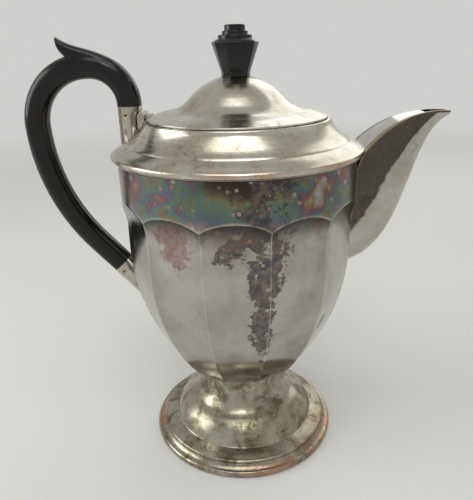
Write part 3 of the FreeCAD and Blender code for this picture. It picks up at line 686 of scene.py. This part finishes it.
shares = [i / sides for i in range(sides + 1)] + [1 + i / across for i in range(1, across)]
lip_places = [lip_start + (lip_end - lip_start) * i / lip_steps for i in range(lip_steps + 1)]
made = bmesh.new()
solder_and_glint_line = made.verts.layers.float.new("solder_and_glint")
inside_tone = made.verts.layers.float.new("inside")
dark_angle = made.verts.layers.float.new("tarnish_and_dark_reflection")
skin = []
bore = []
for share in shares:
    stations = spout_stations(share, 0) + lip_places[1:] + tip_places
    outer = [made.verts.new(spout_place(u, share, 0, 0) * mm) for u in stations]
    # The sides darken below the top edges, most near the pot: partly tarnish, partly a painted dark
    # reflection.
    for vertex, u in zip(outer if share <= 1 else (), stations):
        below_edge = (cubic(keel_points, u) - cubic(top_points, u)).length * math.sin(math.pi * share)
        reach = max(1, dark_depth * (dark_end - u))
        vertex[dark_angle] = max(0, 1 - below_edge / reach) * (1 if share > 0.5 else far_side_share)
    # Real solder at the root, and along the top edges a golden line that is partly a painted highlight.
    for vertex in outer if share in (0, 1) else outer[:1]:
        vertex[solder_and_glint_line] = 1
    deep = [spout_place(u, share, spout_wall, spout_wall) for u in spout_stations(share, spout_wall)]
    deep += [spout_place(u, share, spout_wall, 0) for u in lip_places]
    inner = [made.verts.new(point * mm) for point in deep]
    for vertex in inner:
        vertex[inside_tone] = 1
    skin.append(outer)
    bore.append(inner)
count = len(shares)
for i in range(count):
    j = (i + 1) % count
    on_top = i >= sides
    for k in range(skin_end):
        if not (on_top and root_steps <= k < lip_close):
            made.faces.new((skin[i][k], skin[j][k], skin[j][k + 1], skin[i][k + 1]))
    for k in range(bore_end):
        if not (on_top and k >= root_steps):
            made.faces.new((bore[i][k], bore[i][k + 1], bore[j][k + 1], bore[j][k]))
    made.faces.new((skin[i][0], bore[i][0], bore[j][0], skin[j][0]))
    if on_top:
        made.faces.new((skin[i][root_steps], skin[j][root_steps], bore[j][root_steps], bore[i][root_steps]))
        made.faces.new((skin[i][lip_close], bore[i][bore_end], bore[j][bore_end], skin[j][lip_close]))
for edge in (0, sides):
    for k in range(root_steps, lip_close):
        made.faces.new((skin[edge][k], skin[edge][k + 1], bore[edge][k + 2], bore[edge][k + 1]))
    made.faces.new((skin[edge][root_steps], bore[edge][root_steps + 1], bore[edge][root_steps]))
made.faces.new([outer[skin_end] for outer in skin])
made.faces.new([inner[bore_end] for inner in bore])
spout_mesh = close("spout", made)

# Seamed silver: folded and soldered plate, toned evenly and browned inside the lip. Its sides are dark below
# the top edges, partly tarnish that polish never reached and partly a painted dark reflection of the pot. A
# golden line of solder runs along its joints and doubles as a painted highlight on the top edges.
brown_width = 9 * mm
pit_width = 1.8 * mm
seamed_silver, tree, shader, place, colour, roughness = worn_plate("seamed silver plate",
                                                                   "#c6c3ba", "#a9a393")
solder_and_glint = add(tree, "ShaderNodeAttribute", attribute_name="solder_and_glint").outputs["Fac"]
inside = add(tree, "ShaderNodeAttribute", attribute_name="inside").outputs["Fac"]
inside = add(tree, "ShaderNodeMath", {0: inside, 1: 0.9}, operation="MULTIPLY").outputs[0]
brown = add(tree, "ShaderNodeTexNoise",
            {"Vector": place, "Scale": 1 / brown_width, "Detail": 8, "Roughness": 0.70}).outputs["Fac"]
stains = add(tree, "ShaderNodeMapRange", {0: brown, 1: 0.58, 2: 0.70, 3: 0, 4: 0.5}).outputs[0]
# Partly tarnish and partly a painted dark reflection of the pot along the upper sides.
tarnish_and_dark_reflection = add(tree, "ShaderNodeAttribute", attribute_name="tarnish_and_dark_reflection").outputs["Fac"]
tarnish_and_dark_reflection = add(tree, "ShaderNodeMath", {0: brown, 1: 0.30, 2: tarnish_and_dark_reflection},
                 operation="MULTIPLY_ADD").outputs[0]
darkened = add(tree, "ShaderNodeMapRange", {0: tarnish_and_dark_reflection, 1: 0.27, 2: 0.37, 3: 0, 4: 0.85},
               interpolation_type="SMOOTHSTEP").outputs[0]
pits = add(tree, "ShaderNodeTexNoise", {"Vector": place, "Scale": 1 / pit_width, "Detail": 4}).outputs["Fac"]
pits = add(tree, "ShaderNodeMapRange", {0: pits, 1: 0.62, 2: 0.72, 3: 0, 4: 0.7}).outputs[0]
pits = add(tree, "ShaderNodeMath", {0: pits, 1: darkened}, operation="MULTIPLY").outputs[0]
# Golden solder line, partly a painted highlight along the top edges.
solder_glint_share = add(tree, "ShaderNodeMapRange", {0: solder_and_glint, 1: 0.66, 2: 0.98, 3: 0, 4: 0.85}).outputs[0]
for share, tint in ((inside, "#96694a"), (stains, "#6a5640"), (darkened, "#30271f"), (pits, "#8f6b58"),
                    (solder_glint_share, "#b9a774")):
    colour = add(tree, "ShaderNodeMix", {0: share, 6: colour, 7: linear(tint)}, data_type="RGBA").outputs[2]
roughness = add(tree, "ShaderNodeMath", {0: darkened, 1: 0.08, 2: roughness},
                operation="MULTIPLY_ADD").outputs[0]
shade(tree, shader, colour, roughness)
fit("spout", spout_mesh, "pot", seamed_silver, sharp=math.radians(38))


# Sockets: two short sleeves, folded from the same plated sheet as the spout. One is soldered to the collar
# and one to the body, and they hold the square ends of the grip.
def eased(node):
    """A copy of a solid's mesh with its doubles merged, so that light runs smoothly round its corners."""
    made = bmesh.new()
    made.from_mesh(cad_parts[node].data)
    bmesh.ops.remove_doubles(made, verts=made.verts, dist=hair * mm)
    return plain_mesh(node, made)


for node in ("upper_socket", "lower_socket"):
    fit(node, eased(node), "pot", seamed_silver, sharp=math.radians(38))


# Handle: one bent loop of black composition, moulded and buffed to a satin, with a spur for the thumb on its
# crown. Square tenons at both ends go into the sockets, where the pins hold them.
grip_start = (-48.0, 0, 170.2)
grip_bends = ((-64.4, 171.0, 16.4, 0, 90), (-65.8, 162.2, 25.2, 90, 180), (-7.5, 162.2, 83.5, 180, 222))
grip_end_turn = math.radians(42)
grip_end_run = (4, 8, 12, 16.2)
bend_step = 3
grip_thickness = 10.8
grip_width = 11.0
grip_corner = 4.8


def grip_path():
    """Points along the middle of the grip, through its bends, from the upper joint to the lower, and the way
    in which it ends."""
    points = [Vector(grip_start)]
    for x, z, radius, start, end in grip_bends:
        count = math.ceil((end - start) / bend_step)
        for step in range(count + 1):
            angle = math.radians(start + (end - start) * step / count)
            points.append(Vector((x + radius * math.cos(angle), 0, z + radius * math.sin(angle))))
    way = Vector((math.sin(grip_end_turn), 0, -math.cos(grip_end_turn)))
    last = points[-1]
    return points + [last + way * reach for reach in grip_end_run], way


def sweep_grip():
    """The tree that sweeps the rounded section of the grip along its path."""
    tree = bpy.data.node_groups.new("swept grip", "GeometryNodeTree")
    tree.interface.new_socket("Path", in_out="INPUT", socket_type="NodeSocketGeometry")
    for name, kind in (("Thickness", "Float"), ("Width", "Float"), ("Corner", "Float"),
                       ("Black", "Material")):
        tree.interface.new_socket(name, in_out="INPUT", socket_type="NodeSocket" + kind)
    tree.interface.new_socket("Grip", in_out="OUTPUT", socket_type="NodeSocketGeometry")
    sizes = add(tree, "NodeGroupInput").outputs
    path = add(tree, "GeometryNodeSetCurveNormal", {"Curve": sizes["Path"]}).outputs[0]
    section = add(tree, "GeometryNodeCurvePrimitiveQuadrilateral",
                  {"Width": sizes["Thickness"], "Height": sizes["Width"]}).outputs[0]
    section = add(tree, "GeometryNodeFilletCurve",
                  {"Curve": section, "Radius": sizes["Corner"], "Count": 6}, mode="POLY").outputs[0]
    grip = add(tree, "GeometryNodeCurveToMesh",
               {"Curve": path, "Profile Curve": section, "Fill Caps": True}).outputs[0]
    grip = add(tree, "GeometryNodeSetShadeSmooth", {"Geometry": grip}).outputs[0]
    grip = add(tree, "GeometryNodeRealizeInstances", {0: grip}).outputs[0]
    grip = add(tree, "GeometryNodeSetMaterial", {"Geometry": grip, "Material": sizes["Black"]}).outputs[0]
    add(tree, "NodeGroupOutput", {0: grip})
    return tree


# Buffed composition: dense and brown-black, with a satin that keeps fine rubbing marks and duller patches.
# The real marks are finer, and are drawn 0.9 mm wide so that they show.
worn_width = 22 * mm
mark_width = 0.9 * mm
black_grip, tree, shader, place = new_finish("buffed black composition")
shader.inputs["Specular IOR Level"].default_value = 0.36
worn = add(tree, "ShaderNodeTexNoise",
           {"Vector": place, "Scale": 1 / worn_width, "Detail": 5, "Roughness": 0.6}).outputs["Fac"]
faded = add(tree, "ShaderNodeMapRange", {0: worn, 1: 0.40, 2: 0.70}).outputs[0]
colour = add(tree, "ShaderNodeMix", {0: faded, 6: linear("#080605"), 7: linear("#15110d")},
             data_type="RGBA").outputs[2]
dull = add(tree, "ShaderNodeMapRange", {0: worn, 1: 0.35, 2: 0.70, 3: 0.11, 4: 0.22}).outputs[0]
marks = add(tree, "ShaderNodeTexNoise",
            {"Vector": place, "Scale": 1 / mark_width, "Detail": 3}).outputs["Fac"]
mark_bump = add(tree, "ShaderNodeBump", {"Height": marks, "Strength": 0.08, "Distance": 0.2 * mm}).outputs[0]
shade(tree, shader, colour, dull, mark_bump)

path_points, grip_way = grip_path()
path_curve = bpy.data.curves.new("grip path", "CURVE")
path_curve.dimensions = "3D"
spline = path_curve.splines.new("POLY")
spline.points.add(len(path_points) - 1)
for path_place, point in zip(spline.points, path_points):
    path_place.co = (*(point * mm), 1)
grip_mesh = grown("grip", path_curve, sweep_grip(), Thickness=grip_thickness * mm, Width=grip_width * mm,
                  Corner=grip_corner * mm, Black=black_grip)
made = bmesh.new()
made.from_mesh(grip_mesh)

tenon_corners = ((-3.2, -3), (3.2, -3), (3.2, 3), (-3.2, 3))
tenon_reach = (-0.5, 8.0)


def skin_rings(rings):
    """Adds rings of points to the handle, with faces between them, both ends closed and faces outwards."""
    rings = [[made.verts.new(point * mm) for point in ring] for ring in rings]
    faces = [made.faces.new(rings[0]), made.faces.new(rings[-1])]
    for below, above in zip(rings, rings[1:]):
        for i in range(len(below)):
            j = (i + 1) % len(below)
            faces.append(made.faces.new((below[i], below[j], above[j], above[i])))
    bmesh.ops.recalc_face_normals(made, faces=faces)


for joint, way in ((path_points[0], Vector((0, 0, -1))), (path_points[-1], grip_way)):
    across_way = Vector((way.z, 0, -way.x))
    skin_rings([[joint + way * reach + across_way * x + Vector((0, y, 0)) for x, y in tenon_corners]
                for reach in tenon_reach])

# Thumb spur: the leaf that lifts off the crown of the grip in a shallow double curve, moulded in one with
# it. It narrows over its last part to a blunt tip, and its section is a rounded oblong.
leaf_top = ((-46.0, 0, 181.6), (-55.5, 0, 196.6), (-70.5, 0, 193.0), (-77.9, 0, 200.0))
leaf_under = ((-46.0, 0, 177.0), (-60.0, 0, 188.0), (-76.5, 0, 187.0), (-77.2, 0, 197.5))
leaf_half = 4.5
leaf_narrowing = 1.5
narrow_from = 0.6
tip_from = 0.93
tip_least = 0.2
side_bulge = 0.6
top_bulge = 0.75
leaf_steps = 30
leaf_sides = 24
leaf_rings = []
for step in range(leaf_steps + 1):
    share = step / leaf_steps
    ridge = cubic(leaf_top, share)
    under = cubic(leaf_under, share)
    half = leaf_half - leaf_narrowing * max(0, share - narrow_from) / (1 - narrow_from)
    middle = (ridge + under) / 2
    reach = (ridge - under) / 2
    tip = math.sqrt(max(tip_least ** 2, 1 - max(0, (share - tip_from) / (1 - tip_from)) ** 2))
    ring = []
    for side in range(leaf_sides):
        angle = 2 * math.pi * side / leaf_sides
        wide = math.copysign(abs(math.cos(angle)) ** side_bulge, math.cos(angle))
        tall = math.copysign(abs(math.sin(angle)) ** top_bulge, math.sin(angle))
        ring.append(middle + Vector((0, half * wide * tip, 0)) + reach * tall * (0.5 + 0.5 * tip))
    leaf_rings.append(ring)
skin_rings(leaf_rings)
fit("handle", plain_mesh("handle", made), "pot", black_grip, sharp=math.radians(50))


# Pins and knob fixings: the two tubular pins through sockets and tenons, the pin of the lid hinge, and the
# stud, washer and nut that hold the knob. All are turned or drawn from nickel brass and stay as solids.
# Drawn nickel brass: a pale yellow metal, satin from the die, with dark grime in its grain.
tarnish_width = 1.6 * mm
pin_brass, tree, shader, place = new_finish("drawn nickel brass")
shader.inputs["Metallic"].default_value = 1
tarnish = add(tree, "ShaderNodeTexNoise",
              {"Vector": place, "Scale": 1 / tarnish_width, "Detail": 4}).outputs["Fac"]
tarnished = add(tree, "ShaderNodeMapRange", {0: tarnish, 1: 0.42, 2: 0.68}).outputs[0]
colour = add(tree, "ShaderNodeMix", {0: tarnished, 6: linear("#d8cba4"), 7: linear("#7d6a44")},
             data_type="RGBA").outputs[2]
dull = add(tree, "ShaderNodeMapRange", {0: tarnish, 1: 0.35, 2: 0.70, 3: 0.18, 4: 0.40}).outputs[0]
shade(tree, shader, colour, dull)


def paint(material, *nodes):
    """A solid that shows as it is, with its finished material."""
    for node in nodes:
        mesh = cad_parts[node].data
        mesh.materials.clear()
        mesh.materials.append(material)


paint(pin_brass, "upper_handle_pin", "lower_handle_pin", "hinge_pin")
paint(pin_brass, "finial_stud", "finial_washer", "finial_nut")


# Hinge leaves: small knuckles cut from plated brass, two soldered to the collar and one on a tab of the
# lid. They are as toned as the spout and the sockets, and stay as the solids are.
paint(seamed_silver, "hinge_collar_leaf", "hinge_lid_leaf")


# Lid: a domed disc spun in two sweeps from plated sheet 1.1 mm thick, turned down at its edge and pierced
# for the knob's stud. A bezel soldered below it finds the mouth of the collar, and stays as the solid is.
lid_line = line_of(
    (40.5, 164.5), (40.5, 164.9), (40.3, 165.15, -0.06), (29.5, 167.7, -0.4), (22.5, 171.5, 0.5),
    (7, 181.5, -1.4), (1.55, 181.5), (1.55, 180.4), (6.45, 180.4), (21.95, 170.4, 1.4), (29.5, 166.6, -0.5),
    (36.6, 165.1), (36.6, 164.5))
fit("lid", spun("lid", lid_line), "lid_body", spun_silver)
paint(spun_silver, "lid_bezel")


# Knob: a ten-sided block of black composition that widens to a bevelled head, ground and polished, with a
# stepped round cap turned from the same. It sits on the lid, held by the stud from below.
# Polished composition: glossy and almost black, with a faint haze of dust and handling on its facets.
haze_width = 6 * mm
black_knob, tree, shader, place = new_finish("polished black composition")
shader.inputs["Specular IOR Level"].default_value = 0.40
haze = add(tree, "ShaderNodeTexNoise",
           {"Vector": place, "Scale": 1 / haze_width, "Detail": 5}).outputs["Fac"]
hazy = add(tree, "ShaderNodeMapRange", {0: haze, 1: 0.45, 2: 0.70}).outputs[0]
colour = add(tree, "ShaderNodeMix", {0: hazy, 6: linear("#060607"), 7: linear("#121315")},
             data_type="RGBA").outputs[2]
gloss = add(tree, "ShaderNodeMapRange", {0: haze, 1: 0.35, 2: 0.70, 3: 0.04, 4: 0.11}).outputs[0]
shade(tree, shader, colour, gloss)

knob_levels = ((1.6, 181.5), (6.4, 181.5), (6.4, 183.5), (10.4, 195.6), (8.4, 196.9), (1.6, 196.9))
knob_sides = 10
knob_bore = 3
ridge_angle = math.radians(15)
ridge_round = 0.3
turns = [math.radians(-90 + 360 / knob_sides * (i + 0.5)) for i in range(knob_sides)]
rows = []
for radius, z in knob_levels:
    rows.append([(radius * math.cos(turn), radius * math.sin(turn), z) for turn in turns])
knob_mesh = surface("knob", rows + rows[:1], closed_ring=True)
made = bmesh.new()
made.from_mesh(knob_mesh)
ridges = [edge for edge in made.edges if edge.calc_face_angle(0) > ridge_angle
          and max(vertex.co.xy.length for vertex in edge.verts) > knob_bore * mm]
bmesh.ops.bevel(made, geom=ridges, offset=ridge_round * mm, segments=2, affect="EDGES", profile=0.5)
fit("finial", close("knob", made), "lid_body", black_knob, sharp=math.radians(30))

cap_steps = ((7.4, 1.6), (5.6, 1.6), (4.5, 2.4))
cap_round = 0.45
cap_sag = -0.13
cap_segments = 96
step_z = knob_levels[-1][1]
cap_line = [(0, step_z)]
for radius, rise in cap_steps:
    cap_line += line_of((radius, step_z), (radius, step_z + rise - cap_round),
                        (radius - cap_round, step_z + rise, cap_sag))
    step_z += rise
cap_line.append((0, step_z))
fit("finial_cap", spun("finial_cap", cap_line, cap_segments), "lid_body", black_knob)


# Studio, in metres: a pale paper floor that fades into the backdrop, a plain soft room and four soft lamps.
# The camera stands where the photograph was taken from, a little above the pot and close to it.
# Pale paper: matt, with a faint cloud of fibres drawn 4 mm wide so that it shows.
backdrop = "#cfcfcd"
fibre_width = 4 * mm
floor_radius = 4.0
fade_start = 0.35
fade_end = 1.3
floor_mesh = bpy.data.meshes.new("floor")
made = bmesh.new()
bmesh.ops.create_circle(made, cap_ends=True, segments=96, radius=floor_radius)
made.to_mesh(floor_mesh)
made.free()
floor_paper, tree, shader, place = new_finish("pale paper")
shader.inputs["Roughness"].default_value = 0.9
fibre = add(tree, "ShaderNodeTexNoise",
            {"Vector": place, "Scale": 1 / fibre_width, "Detail": 4}).outputs["Fac"]
colour = add(tree, "ShaderNodeMix", {0: fibre, 6: linear("#d9d9d6"), 7: linear("#dededb")},
             data_type="RGBA").outputs[2]
tree.links.new(colour, shader.inputs["Base Color"])
distance = add(tree, "ShaderNodeVectorMath", {0: place}, operation="LENGTH").outputs["Value"]
far = add(tree, "ShaderNodeMapRange", {0: distance, 1: fade_start, 2: fade_end},
          interpolation_type="SMOOTHSTEP").outputs[0]
ray = add(tree, "ShaderNodeLightPath").outputs
seen = ray["Is Camera Ray"]
for kind in ("Is Glossy Ray", "Is Transmission Ray"):
    seen = add(tree, "ShaderNodeMath", {0: seen, 1: ray[kind]}, operation="MAXIMUM").outputs[0]
far = add(tree, "ShaderNodeMath", {0: far, 1: seen}, operation="MULTIPLY").outputs[0]
glow = add(tree, "ShaderNodeEmission", {"Color": linear(backdrop)}).outputs[0]
paper = add(tree, "ShaderNodeMixShader", {0: far, 1: shader.outputs[0], 2: glow}).outputs[0]
tree.links.new(paper, tree.nodes["Material Output"].inputs["Surface"])
floor_mesh.materials.append(floor_paper)
floor = bpy.data.objects.new("floor", floor_mesh)
bpy.context.scene.collection.objects.link(floor)

room = bpy.data.worlds.new("soft room")
bpy.context.scene.world = room
room.use_nodes = True
tree = room.node_tree
sky = tree.nodes["Background"]
direction = add(tree, "ShaderNodeTexCoord").outputs["Generated"]
height = add(tree, "ShaderNodeSeparateXYZ", {0: direction}).outputs["Z"]
rise = add(tree, "ShaderNodeMapRange", {0: height, 1: 0.15, 2: 0.75},
           interpolation_type="SMOOTHSTEP").outputs[0]
tone = add(tree, "ShaderNodeMix", {0: rise, 6: linear(backdrop), 7: linear("#bcbbb7")},
           data_type="RGBA").outputs[2]
tree.links.new(tone, sky.inputs["Color"])
sky.inputs["Strength"].default_value = 1

lamp_aim = Vector((0, 0, 0.1))
for name, place, size, energy in (("ceiling", (0.0, -0.28, 0.75), 0.50, 1.5),
                                  ("ring", (0.02, -0.55, 0.72), 0.14, 0.40),
                                  ("side", (-0.75, -0.12, 0.40), 0.50, 2.2),
                                  ("back", (0.35, 0.60, 0.55), 0.60, 1.2)):
    light = bpy.data.lights.new(name, "AREA")
    light.energy = energy
    light.size = size
    lamp = bpy.data.objects.new(name, light)
    lamp.location = place
    lamp.rotation_euler = (lamp_aim - Vector(place)).to_track_quat("-Z", "Y").to_euler()
    bpy.context.scene.collection.objects.link(lamp)

camera = bpy.data.cameras.new("camera")
camera.lens = 36.7336
camera.sensor_width = 36
camera.clip_start = 0.01
viewer = bpy.data.objects.new("camera", camera)
viewer.location = (0.0069926, -0.2356048, 0.1929505)
viewer.rotation_euler = [math.radians(turn) for turn in (68.456986, 1.3841, 1.557783)]
bpy.context.scene.collection.objects.link(viewer)
bpy.context.scene.camera = viewer
bpy.context.scene.view_settings.view_transform = "Standard"
